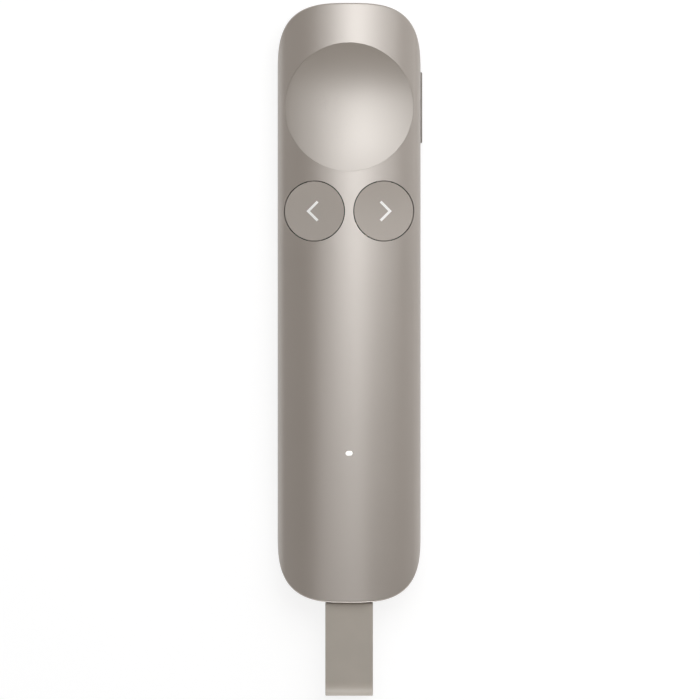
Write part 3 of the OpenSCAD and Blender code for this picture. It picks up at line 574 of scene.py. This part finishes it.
frame_plastic = moulded("frame_plastic", (0.06, 0.06, 0.062), 0.5)
switch_plastic = moulded("switch_plastic", (0.035, 0.035, 0.037), 0.4, grain=0.2, grain_depth=0.002)
plunger_plastic = moulded("plunger_plastic", (0.7, 0.68, 0.62), 0.45, grain=0.3, grain_depth=0.002)
chip_resin = moulded("chip_resin", (0.02, 0.02, 0.022), 0.55, grain=0.08, grain_depth=0.003)
ceramic = moulded("antenna_ceramic", (0.78, 0.77, 0.72), 0.5, grain=0.1, grain_depth=0.002)
connector_plastic = moulded("connector_plastic", (0.82, 0.8, 0.74), 0.4, grain=0.3, grain_depth=0.002)
lead_sheath = moulded("lead_sheath", (0.55, 0.03, 0.025), 0.38, grain=0.4, grain_depth=0.002)
led_emitter = moulded("led_emitter", (0.9, 0.88, 0.7), 0.25, grain=0.3, grain_depth=0.001)
screw_steel = bare_metal("screw_steel", (0.45, 0.45, 0.46), 0.3, (1, 1, 0.2))
tinned_steel = bare_metal("tinned_steel", (0.75, 0.75, 0.74), 0.22, (1, 0.1, 1))
motor_steel = bare_metal("motor_steel", (0.62, 0.62, 0.61), 0.26, (1, 0.15, 1))
barrel_brass = bare_metal("barrel_brass", (0.8, 0.58, 0.25), 0.22, (1, 1, 0.15))
contact_strips = contact_finish("contact_strips", (0.02, 0.02, 0.022), (0.86, 0.65, 0.3), 0.5)
clear_lens = glassy("clear_lens", (0.9, 0.92, 0.93), 0.04, Transmission_Weight=0.85, IOR=1.5)
board_laminate = board_finish("board_laminate", (0.012, 0.085, 0.04))
cell_foil = foil_finish("cell_foil", (0.66, 0.66, 0.67))
foam_pad = foam_finish("foam_pad", (0.045, 0.045, 0.045))

INNER_FINISHES = {
    frame_plastic: ("mid_frame", "receiver_sleeve"),
    screw_steel: ("frame_screws", "board_screws"),
    board_laminate: ("main_board", "receiver_board"),
    switch_plastic: ("thumb_switch", "back_switch", "next_switch", "side_switch"),
    plunger_plastic: ("thumb_plunger", "back_plunger", "next_plunger", "side_plunger"),
    led_emitter: ("status_led",),
    chip_resin: ("processor", "motion_sensor", "receiver_chip"),
    tinned_steel: ("radio_shield", "charging_socket"),
    contact_strips: ("receiver_contacts",),
    ceramic: ("chip_antenna",),
    connector_plastic: ("battery_connector",),
    cell_foil: ("battery",),
    foam_pad: ("battery_pad",),
    lead_sheath: ("battery_leads",),
    motor_steel: ("vibration_motor",),
    barrel_brass: ("laser_barrel", "laser_diode"),
    clear_lens: ("laser_lens",),
    smoked_window: ("nose_window",),
}


def finish_inner_nodes():
    """Gives each piece that the frame brings, and that stays, its finish."""
    for finish, nodes in INNER_FINISHES.items():
        for node in nodes:
            mesh = frame["nodes"][node].data
            mesh.materials.clear()
            mesh.materials.append(finish)


# ---------- housing ----------

def seam_edge(way):
    """Eased edge beside the seam, above or below it: pairs of inward step and height."""
    waist = SEAM_EASE * 0.3
    return [(SEAM_EASE, SEAM_Z), (waist, SEAM_Z + way * waist), (0.0, SEAM_Z + way * SEAM_EASE)]


def crown_stripes(inset):
    """Places across the remote at which the crown is creased, evenly turned."""
    crown_turn = math.degrees(math.asin(SIDE_X / (CROWN_R - SIDE_R)))
    crown_count, side_count = 112, 14
    stripes = [
        (CROWN_R - inset) * math.sin(math.radians(crown_turn * (2 * n / crown_count - 1)))
        for n in range(crown_count + 1)
    ]
    for n in range(1, side_count):
        turn = math.radians(crown_turn + (90 - crown_turn) * n / side_count)
        reach = SIDE_X + (SIDE_R - inset) * math.sin(turn)
        stripes += [-reach, reach]
    return sorted(stripes)


def housing_blank(name, inset, roll, foot):
    """Solid from its foot up to the crown, sunk by inset, the edges of its ends rolled over."""
    bm = bmesh.new()
    crown = bm.faces.layers.int.new("crown")
    rings = [[edge_place(s, inset + step, z) for s in STATIONS] for step, z in foot]
    for n in range(ROLL_STEPS + 1):
        rings.append([rolled_place(s, inset, roll, n / ROLL_STEPS) for s in STATIONS])
    wrap_rings(bm, rings)[-1][crown] = 1
    for x in crown_stripes(inset):
        faces = [face for face in bm.faces if face[crown]]
        edges = list({edge for face in faces for edge in face.edges})
        verts = list({vert for face in faces for vert in face.verts})
        bmesh.ops.bisect_plane(
            bm, geom=verts + edges + faces, dist=1e-5, plane_co=(x, 0, 0), plane_no=(1, 0, 0),
        )
    for vert in {vert for face in bm.faces if face[crown] for vert in face.verts}:
        vert.co.z = front_z(vert.co.x, inset)
    return blank(name, bm)


def mouth_cutter(name, mouths):
    """Closed cutters, each flaring into a rounded rim where it leaves the surface."""
    bm = bmesh.new()
    lip, lip_rise, last_turn = 0.3, 0.08, 75.0
    for outline, place, (deep, far), flare in mouths:
        profile = [(step, -drop) for step, drop in roll_profile(flare, 3, last_turn)]
        profile.append((profile[-1][0] + lip, profile[-1][1] + lip_rise))
        rings = [[place(u, v, rise) for u, v in outline(grow)] for grow, rise in profile]
        rings.insert(0, [place(u, v, 0, deep) for u, v in outline(0)])
        rings.append([place(u, v, 0, far) for u, v in outline(profile[-1][0])])
        wrap_rings(bm, rings)
    return blank(name, bm)


def on_front(middle_x, middle_y):
    """Places points on the crown with a rise, or all of them on one level."""
    def place(u, v, rise, level=None):
        x = middle_x + u
        return Vector((x, middle_y + v, front_z(x) + rise if level is None else level))
    return place


def on_right(middle_y, middle_z):
    """Places points on the right side with a rise, or all of them on one level."""
    def place(u, v, rise, level=None):
        y = middle_y + u
        return Vector((side_x(y) + rise if level is None else level, y, middle_z + v))
    return place


def on_end(way, middle_z):
    """Places points on the nose or the tail with a rise, or all of them on one level."""
    def place(u, v, rise, level=None):
        return Vector((u, way * (end_y(u) + rise if level is None else level), middle_z + v))
    return place


def front_shell():
    """Front half of the housing, hollow, with the openings for the keys, light, laser and receiver."""
    outer_roll, inner_roll, below = 0.4, 0.3, 1.0
    thumb_rim, key_rim, light_rim, slot_rim, end_rim = 0.008, 0.02, 0.04, 0.12, 0.25
    seat_start, seat_end = 61.0, 64.48
    through_front, through_side, through_end = (5.0, 16.0), (12.0, 18.0), (60.0, 68.0)
    thumb_hole = partial(round_outline, THUMB_HOLE_R, count=DISH_STEPS)
    key_hole = partial(round_outline, KEY_HOLE_R)
    laser_hole = partial(round_outline, LASER_HOLE_R, count=64)
    light_hole, side_slot, well_mouth = (
        partial(rounded_outline, *oblong) for oblong in (LIGHT_HOLE, SIDE_SLOT, WELL_MOUTH)
    )
    shell = housing_blank("shell_front", 0.0, outer_roll, seam_edge(1))
    hollow = housing_blank("shell_hollow", WALL, inner_roll, [(0.0, SEAM_Z - below)])
    openings = mouth_cutter("openings", [
        (thumb_hole, on_front(0, DISH_Y), through_front, thumb_rim),
        (key_hole, on_front(KEY_X, KEYS_Y), through_front, key_rim),
        (key_hole, on_front(-KEY_X, KEYS_Y), through_front, key_rim),
        (light_hole, on_front(0, LIGHT_Y), through_front, light_rim),
        (side_slot, on_right(DISH_Y, SIDE_KEY_Z), through_side, slot_rim),
        (laser_hole, on_end(1, LASER_Z), through_end, end_rim),
        (well_mouth, on_end(-1, PLUG_Z), through_end, end_rim),
    ])
    seat = bmesh.new()
    post(seat, (0, seat_start, LASER_Z), (0, seat_end, LASER_Z), WINDOW_SEAT_R, 96)
    carve(shell, hollow, openings, blank("window_seat", seat))
    dress(
        shell, shell_paint, "housing", "painted_shell", "front_shell", facing=front_facing,
    )


def rear_cover():
    """Rounded back of the housing, with the tongues and snap beads that hold it in the front half."""
    bm = bmesh.new()
    steps, inner_r, first_turn = 12, BACK_R - WALL, 2.0
    inner_turns = [math.radians(90 * (1 - n / steps)) for n in range(steps + 1)]
    outer_turns = [math.radians(first_turn + (90 - first_turn) * n / steps) for n in range(steps + 1)]
    profile = [
        (WALL + inner_r * (1 - math.cos(t)), SEAM_Z - inner_r * math.sin(t)) for t in inner_turns
    ]
    # the outer round starts at its first turn, in place of the seam edge's last step
    profile += seam_edge(-1)[:2]
    profile += [
        (BACK_R * (1 - math.cos(t)), SEAM_Z - BACK_R * math.sin(t)) for t in outer_turns
    ]
    wrap_rings(bm, [[edge_place(s, inset, z) for s in STATIONS] for inset, z in profile])
    tongue_x, tongue_t, tongue_foot, tongue_top, ease = 13.2, 0.9, 2.5, 4.3, 0.15
    tongue_mid, tongue_l = -7.6, 80.0
    bead_count, bead_l, bead_r, bead_z = 4, 5.0, 0.25, 3.85
    start, end = tongue_mid - tongue_l / 2, tongue_mid + tongue_l / 2
    for way in (-1, 1):
        face_x = way * (tongue_x + tongue_t)
        low_x, high_x = sorted((way * tongue_x, face_x))
        block(bm, (low_x, start, tongue_foot), (high_x, end, tongue_top), ease)
        for n in range(bead_count):
            y = tongue_mid + tongue_l * ((n + 0.5) / bead_count - 0.5)
            post(bm, (face_x, y - bead_l / 2, bead_z), (face_x, y + bead_l / 2, bead_z), bead_r, 24)
    cover = blank("cover_rear", bm)
    dress(cover, cover_paint, "housing", "painted_cover", "rear_cover")


def light_lens():
    """Lens of the status light: a stem with a collar inside, its face flush with the crown."""
    bm = bmesh.new()
    foot, collar_foot, collar_top, spread, ease, edge = 6.5, 10.9, 11.5, 1.0, 0.1, 0.06
    place = on_front(0, LIGHT_Y)
    outline = partial(rounded_outline, *LIGHT_LENS)
    levels = [(0.0, foot), (0.0, collar_foot - ease), (spread, collar_foot)]
    levels += [(spread, collar_top), (0.0, collar_top + ease)]
    rings = [[place(u, v, 0, z) for u, v in outline(grow)] for grow, z in levels]
    for step, drop in roll_profile(edge, 3):
        rings.append([place(u, v, -drop) for u, v in outline(-step)])
    wrap_rings(bm, rings)
    dress(blank("status_lens", bm), lit_lens, "housing", "light_diffuser", "light_pipe")


# ---------- keys ----------

def disc_rings(middle_x, middle_y, surface, levels, count):
    """Rings round a key, each level its radius, how far its surface is sunk and its drop, or a height."""
    rings = []
    for radius, sunk, drop, height in levels:
        ring = []
        for u, v in round_outline(radius, 0, count):
            x, y = middle_x + u, middle_y + v
            z = surface(x, y, sunk) - drop if height is None else height
            ring.append(Vector((x, y, z)))
        rings.append(ring)
    return rings


def key_levels(radius, plate, edge, count, skirt=None):
    """Levels of a key from under its middle, out round its edge and back over its top."""
    tiny, under_count, hold = 0.02, 8, 0.03
    inner = radius - SKIRT_T if skirt else radius
    under = [(tiny, plate, 0.0, None)]
    under += [(inner * n / under_count, plate, 0.0, None) for n in range(1, under_count + 1)]
    foot = [(inner, 0.0, 0.0, skirt), (radius, 0.0, 0.0, skirt)] if skirt else []
    rim = [(radius - step, 0.0, drop, None) for step, drop in roll_profile(edge)]
    flat = radius - edge
    # a ring just inside the edge keeps the top's own shading right up to its rim
    top = [(flat - hold, 0.0, 0.0, None)]
    top += [(flat * (1 - n / count), 0.0, 0.0, None) for n in range(1, count)]
    return under + foot + rim + top + [(tiny, 0.0, 0.0, None)]


def key_lug(bm, middle, half_w, reach, heights):
    """Eased block beside a key's middle, its reach counted to the nose, or below 0 to the tail."""
    ease = 0.1
    (x, y), (low, high) = middle, heights
    near, far = sorted(y + step for step in reach)
    block(bm, (x - half_w, near, low), (x + half_w, far, high), ease)


def thumb_key():
    """Dished thumb key with its two lugs under the shell, guide posts and seat for the plunger."""
    bm = bmesh.new()
    edge, top_count = 0.008, 30
    levels = key_levels(THUMB_R, THUMB_PLATE, edge, top_count)
    wrap_rings(bm, disc_rings(0, DISH_Y, dish_z, levels, DISH_STEPS))
    half_w, lug_start, lug_end, lug_top = 3.0, 13.1, 14.6, 11.44
    web_start, web_end, web_foot, web_top = 12.3, 13.5, 10.7, 11.9
    guide_y, guide_r, guide_top, seat_top = 7.0, 0.9, 11.2, 11.0
    for way in (-1, 1):
        lug_reach, web_reach = (way * lug_start, way * lug_end), (way * web_start, way * web_end)
        key_lug(bm, (0, DISH_Y), half_w, lug_reach, (lug_top - LUG_T, lug_top))
        key_lug(bm, (0, DISH_Y), half_w, web_reach, (web_foot, web_top))
        y = DISH_Y + way * guide_y
        post(bm, (0, y, DECK_Z), (0, y, guide_top), guide_r)
    post(bm, (0, DISH_Y, PLUNGER_TOP), (0, DISH_Y, seat_top), PLUNGER_SEAT_R)
    dress(blank("thumb_dish", bm), painted_shade_dish_paint, "thumb", "painted_shell", "thumb_key")


def round_key(way, name, body, node):
    """One round key. The left one is the right one mirrored."""
    bm = bmesh.new()
    edge, top_count, play = 0.025, 20, 0.1
    half_w, lug_start, lug_end, seat_top = 1.5, 5.6, 7.1, 10.6
    skirt = front_z(KEY_X + KEY_R) - CAP_PLATE - play
    lug_top = front_z(KEY_X + half_w, WALL) - play
    levels = key_levels(KEY_R, CAP_PLATE, edge, top_count, skirt)
    wrap_rings(bm, disc_rings(KEY_X, KEYS_Y, key_z, levels, ROUND_STEPS))
    for side in (-1, 1):
        reach = (side * lug_start, side * lug_end)
        key_lug(bm, (KEY_X, KEYS_Y), half_w, reach, (lug_top - LUG_T, lug_top))
    post(bm, (KEY_X, KEYS_Y, PLUNGER_TOP), (KEY_X, KEYS_Y, seat_top), PLUNGER_SEAT_R)
    bm.transform(Matrix.Diagonal((way, 1, 1, 1)))
    dress(blank(name, bm), key_paint, body, "key_plastic", node)


def arrow(way, name, body, node):
    """Arrow let into a round key, its two arms one bent bar."""
    bm = bmesh.new()
    tip, reach, stroke, proud, depth, steps = 1.75, 2.25, 0.55, 0.012, 0.28, 8
    across = stroke / math.sqrt(2)
    rings = []
    for n in range(-steps, steps + 1):
        share = n / steps
        outer = (tip - reach * abs(share), reach * share)
        inner = (tip - 2 * across - (reach - across) * abs(share), (reach - across) * share)
        corners = [(outer, -proud), (inner, -proud), (inner, depth), (outer, depth)]
        rings.append([
            Vector((KEY_X + u, KEYS_Y + v, key_z(KEY_X + u, KEYS_Y + v) - drop))
            for (u, v), drop in corners
        ])
    wrap_rings(bm, rings)
    bm.transform(Matrix.Diagonal((way, 1, 1, 1)))
    dress(blank(name, bm), arrow_white, body, "arrow_white", node)


def side_key():
    """Long key in the right side, with a flange behind the wall and a seat for its plunger."""
    bm = bmesh.new()
    back_x, flange_x, flange, proud, edge = 13.3, 14.1, 0.35, 0.35, 0.25
    seat_start, seat_end, seat_r = 12.3, 13.4, 1.0
    levels = [(flange, back_x), (flange, flange_x), (0.0, flange_x)]
    levels += [(-step, HALF_W + proud - drop) for step, drop in roll_profile(edge)]
    wrap_rings(bm, [
        [Vector((x, DISH_Y + u, SIDE_KEY_Z + v)) for u, v in rounded_outline(*SIDE_KEY, grow)]
        for grow, x in levels
    ])
    post(bm, (seat_start, DISH_Y, SIDE_KEY_Z), (seat_end, DISH_Y, SIDE_KEY_Z), seat_r)
    dress(blank("side_bar", bm), side_key_paint, "side", "side_key_plastic", "side_key")


# ---------- receiver and pull loop ----------

def along_y_ring(outline, y):
    """Outline round the plug's line at a place along the remote."""
    return [Vector((u, y, PLUG_Z + v)) for u, v in outline]


def side_place(y, z, radius, degrees):
    """Point on a circle seen from the side, its middle z above the plug's line."""
    turn = math.radians(degrees)
    return Vector((0, y + radius * math.cos(turn), PLUG_Z + z + radius * math.sin(turn)))


def receiver_body():
    """Receiver's case and the collar in its nose, with the hole for the strap and the plug's mouth."""
    bm = bmesh.new()
    tail, nose, edge, ease, hole_l = -64.45, -48.05, 0.35, 0.1, 1.0
    groove_l, groove_w, slope, sunk, flare = 0.12, 0.08, 0.12, 0.02, 0.08
    case = partial(rounded_outline, 12.0, 5.6, 2.3)
    hole = partial(rounded_outline, 8.7, 2.9, 1.05)
    mouth = partial(rounded_outline, 8.34, 2.5, 1.24)
    collar = partial(rounded_outline, 10.4, 4.0, 1.5)
    levels = [(hole(0), tail + hole_l), (hole(0), tail + ease), (hole(ease), tail)]
    levels += [(case(-step), tail + drop) for step, drop in reversed(roll_profile(edge))]
    levels += [(case(-step), nose - drop) for step, drop in roll_profile(edge)]
    levels += [(collar(0), nose), (collar(0), nose - groove_l), (collar(-groove_w), nose - groove_l)]
    levels += [(collar(-slope), nose - sunk), (mouth(flare), nose - sunk)]
    levels += [(mouth(0), nose - ease), (mouth(0), nose - hole_l)]
    wrap_rings(bm, [along_y_ring(outline, y) for outline, y in levels])
    dress(
        blank("receiver_body", bm), receiver_plastic, "receiver", "receiver_plastic",
        "receiver_case", "receiver_collar",
    )


def receiver_plug():
    """Oval plug of rolled sheet, open at its tip."""
    bm = bmesh.new()
    root, tip, lip, wall = -51.5, -41.4, 0.12, 0.25
    plug = partial(rounded_outline, 8.24, 2.4, 1.19, steps=16)
    levels = [(0.0, root)] + [(-step, tip - drop) for step, drop in roll_profile(lip, 3)]
    levels += [(lip * 0.5 - wall, tip), (-wall, tip - lip * 0.6), (-wall, root)]
    close_ring(bm, [along_y_ring(plug(grow), y) for grow, y in levels])
    dress(blank("receiver_tongue", bm), plug_steel, "receiver", "tinned_steel", "receiver_plug")


def pull_loop():
    """Strap bent round a long eye, with a neck that holds it in the receiver."""
    bm = bmesh.new()
    root_y, far_y, half_h, half_w, edge, root_r = -65.1, -81.65, 3.5, 5.15, 0.2, 0.15
    eye_root_y, eye_r, first_turn, steps = -68.65, 2.2, 10.0, 14
    side_z = half_h - root_r
    corners = [
        (root_y, side_z, root_r, eye_root_y, (first_turn, 90)),
        (far_y, 0.0, half_h, far_y, (90, 180)),
        (far_y, 0.0, half_h, far_y, (180, 270)),
        (root_y, -side_z, root_r, eye_root_y, (270, 360 - first_turn)),
    ]
    rings = []
    for quarter, (outer_y, outer_z, outer_r, eye_y, (start, end)) in enumerate(corners):
        for share in [step / steps for step in range(steps + 1)]:
            outer = side_place(outer_y, outer_z, outer_r, 90 * (quarter + share))
            inner = side_place(eye_y, 0.0, eye_r, start + (end - start) * share)
            run = outer - inner
            way = run.normalized()
            middle = (inner + outer) / 2
            rings.append([
                middle + way * v + Vector((u, 0, 0))
                for u, v in rounded_outline(2 * half_w, run.length, edge, steps=4)
            ])
    close_ring(bm, rings)
    stem, head = rounded_outline(8.6, 2.8, 1.0), rounded_outline(10.2, 3.8, 1.4)
    stem_y, head_y, head_end = -66.2, -63.1, -61.75
    neck = [(stem, stem_y), (stem, head_y), (head, head_y), (head, head_end)]
    wrap_rings(bm, [along_y_ring(outline, y) for outline, y in neck])
    dress(blank("strap_loop", bm), loop_rubber, "receiver", "loop_rubber", "pull_loop")


front_shell()
rear_cover()
light_lens()
thumb_key()
round_key(1, "key_next", "next", "next_key")
round_key(-1, "key_back", "back", "back_key")
arrow(1, "arrow_next", "next", "next_arrow")
arrow(-1, "arrow_back", "back", "back_arrow")
side_key()
receiver_body()
receiver_plug()
pull_loop()
finish_inner_nodes()


# ---------- studio, in metres ----------

def studio_floor():
    """Pale floor. The camera, metal and glass see it bright, and it keeps the shadow."""
    bm = bmesh.new()
    reach_mm, below_mm = 6000, 0.05
    paper_grey, soft_grey, white, glow = (0.8, 0.8, 0.8, 1), (0.3, 0.3, 0.3, 1), (1, 1, 1, 1), 0.78
    bmesh.ops.create_grid(bm, x_segments=1, y_segments=1, size=reach_mm)
    bmesh.ops.translate(bm, verts=bm.verts, vec=(0, 0, -below_mm))
    floor = blank("studio_floor", bm)
    finish = Finish("pale_floor")
    from_camera, from_gloss, from_glass = (
        finish.node("ShaderNodeLightPath", {}, {}, ray)
        for ray in ("Is Camera Ray", "Is Glossy Ray", "Is Transmission Ray")
    )
    shown = (from_camera + from_gloss + from_glass) > 0.5
    paper = finish.node("ShaderNodeBsdfDiffuse", {}, {"Color": paper_grey})
    soft = finish.node("ShaderNodeBsdfDiffuse", {}, {"Color": soft_grey})
    light = finish.node("ShaderNodeEmission", {}, {"Color": white, "Strength": glow})
    bright = finish.node("ShaderNodeAddShader", {}, {0: soft, 1: light})
    mixed = finish.node("ShaderNodeMixShader", {}, {0: shown, 1: paper, 2: bright})
    finish.node("ShaderNodeOutputMaterial", {}, {"Surface": mixed})
    floor.data.materials.append(finish.material)


def soft_lamp(name, place, aim, width, length, power):
    """Soft box at its place, turned to its aim, its power in watts."""
    lamp = bpy.data.lights.new(name, "AREA")
    lamp.shape, lamp.size, lamp.size_y = "RECTANGLE", width, length
    lamp.energy = power
    holder = bpy.data.objects.new(name, lamp)
    bpy.context.scene.collection.objects.link(holder)
    holder.location = place
    turn = (Vector(place) - Vector(aim)).to_track_quat("Z", "Y")
    holder.rotation_euler = turn.to_euler()


def camera():
    """Long lens looking straight down, the nose up."""
    distance, frame_w, level = 2.0, 0.1518, 0.0065
    middle_x, middle_y = 0.00019, -0.0102
    lens = bpy.data.cameras.new("camera")
    lens.sensor_width = 36
    lens.lens = lens.sensor_width * (distance - level) / frame_w
    lens.clip_start, lens.clip_end = 0.1, 50
    holder = bpy.data.objects.new("camera", lens)
    bpy.context.scene.collection.objects.link(holder)
    holder.location = (middle_x, middle_y, distance)
    bpy.context.scene.camera = holder


def world():
    """Room light: pale walls that fade upwards into a dim ceiling."""
    room = Finish("soft_room", "Generated", bpy.data.worlds.new("soft_room"))
    height = room.node("ShaderNodeSeparateXYZ", {}, {0: room.place}, "Z")
    level = room.node(
        "ShaderNodeMapRange", {},
        {"Value": height, "From Min": 0.0, "From Max": 0.7, "To Min": 0.9, "To Max": 0.1},
    )
    light = room.node("ShaderNodeBackground", {}, {"Strength": level})
    room.node("ShaderNodeOutputWorld", {}, {"Surface": light})
    bpy.context.scene.world = room.material


studio_floor()
# five boxes look straight down, each from a height of its own
soft_lamp("high_box", (-0.1, 0.25, 0.8), (-0.1, 0.25, 0), 0.6, 0.7, 1.466)
soft_lamp("nose_box", (0.15, 0.25, 0.45), (0.15, 0.25, 0), 0.5, 0.5, 1.295)
soft_lamp("small_box", (0.1, 0.1, 0.43), (0.1, 0.1, 0), 0.2, 0.2, 0.154)
soft_lamp("low_box", (0.05, 0.2, 0.25), (0.05, 0.2, 0), 0.15, 0.2, 0.06)
soft_lamp("crown_box", (0.05, 0.18, 0.9), (0.05, 0.18, 0), 0.1, 0.3, 0.08)
# three more light the right side, the left side and the tail
soft_lamp("right_box", (1.0, 0.2, 0.5), (0, 0, 0), 0.5, 0.5, 0.68)
soft_lamp("left_box", (-1.0, 0, 0.5), (0, 0, 0), 0.5, 0.5, 0.09)
soft_lamp("tail_box", (0, -0.8, 0.1), (0, -0.05, 0), 0.5, 0.15, 3.2)
camera()
world()

bpy.context.scene.view_settings.view_transform = "Standard"
